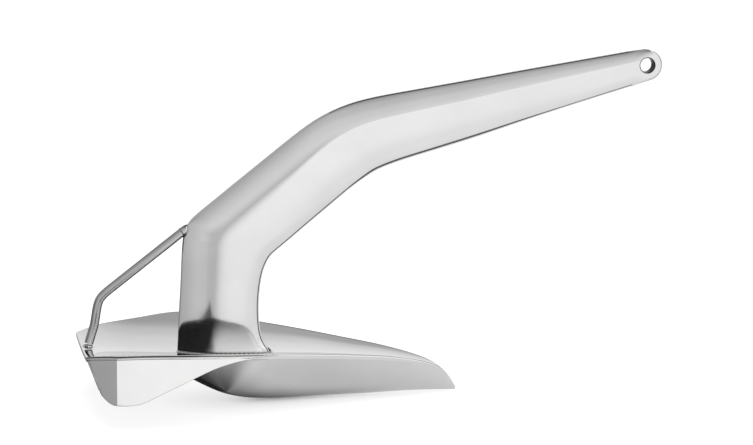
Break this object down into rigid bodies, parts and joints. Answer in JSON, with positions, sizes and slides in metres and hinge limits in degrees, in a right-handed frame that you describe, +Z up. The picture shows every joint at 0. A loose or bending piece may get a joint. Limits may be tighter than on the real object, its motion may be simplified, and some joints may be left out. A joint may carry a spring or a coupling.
{
  "type": "boat anchor",
  "caption": "Rigid scoop anchor in polished stainless steel: leaf-shaped fluke with folded wings, ballasted toe, bent hollow shank and a roll bar.",
  "frame": {"origin": "centre of the bounding box's base: on the floor under the keel, on the centre plane, midway between the fluke's trailing edge and the shackle eye's nose", "axes": "+X forward, towards the toe and the shackle eye; +Y to port; +Z up, from the keel to the shank"},
  "size_m": [0.97, 0.422, 0.5674],
  "materials": {
    "polished_stainless": "polished",
    "weld_bead": "gloss",
    "lead": "matte"
  },
  "bodies": {
    "root": {"fluke_deck": "polished_stainless", "wing_port": "polished_stainless", "wing_starboard": "polished_stainless", "rim_weld_port": "weld_bead", "rim_weld_starboard": "weld_bead", "hull_side_port": "polished_stainless", "hull_side_starboard": "polished_stainless", "hull_transom": "polished_stainless", "keel_seam": "weld_bead", "toe_point": "polished_stainless", "ballast_bulkhead": "polished_stainless", "lead_ballast": "lead", "shank_shell_port": "polished_stainless", "shank_shell_starboard": "polished_stainless", "shank_seam_top": "weld_bead", "shank_seam_bottom": "weld_bead", "shackle_eye": "polished_stainless", "foot_weld": "weld_bead", "roll_bar": "polished_stainless", "roll_bar_top_weld": "weld_bead", "roll_bar_foot_weld": "weld_bead"}
  },
  "joints": []
}
